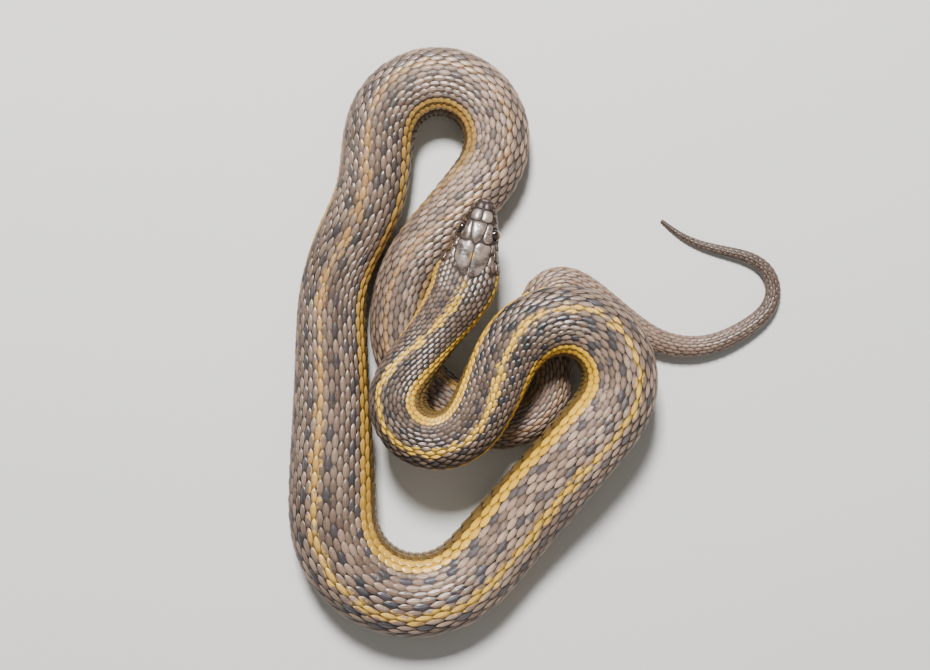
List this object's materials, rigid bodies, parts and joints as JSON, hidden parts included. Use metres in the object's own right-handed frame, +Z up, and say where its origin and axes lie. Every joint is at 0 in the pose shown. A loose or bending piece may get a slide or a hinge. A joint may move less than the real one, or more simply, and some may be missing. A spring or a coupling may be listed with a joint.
{
  "type": "garter snake model",
  "caption": "Still, life-size garter snake lying in a loose coil with its head and neck over its own body and the tail free.",
  "frame": {"origin": "centre of the coil's bounding box, on the ground that it lies on", "axes": "+Z up from the ground; +Y along the long side of the coil, the way that the snout points; +X towards the side where the tail lies"},
  "size_m": [0.1366, 0.1624, 0.0266],
  "materials": {
    "head_skin": "smooth glossy shields, dark brown",
    "body_skin": "satin keeled scales, brown with three yellow stripes and dark spots",
    "tail_skin": "satin small scales, plain brown",
    "eye": "wet gloss, round pupil"
  },
  "bodies": {
    "root": {"head": "head_skin", "lower_jaw": "head_skin", "eye_left": "eye", "eye_right": "eye", "neck": "body_skin", "torso_01": "body_skin", "torso_02": "body_skin", "torso_03": "body_skin", "torso_04": "body_skin", "torso_05": "body_skin", "torso_06": "body_skin", "torso_07": "body_skin", "torso_08": "body_skin", "torso_09": "body_skin", "torso_10": "body_skin", "torso_11": "body_skin", "torso_12": "body_skin", "torso_13": "body_skin", "torso_14": "body_skin", "torso_15": "body_skin", "torso_16": "body_skin", "torso_17": "body_skin", "tail_01": "tail_skin", "tail_02": "tail_skin", "tail_03": "tail_skin", "tail_04": "tail_skin", "tail_05": "tail_skin", "tail_06": "tail_skin"}
  },
  "joints": []
}
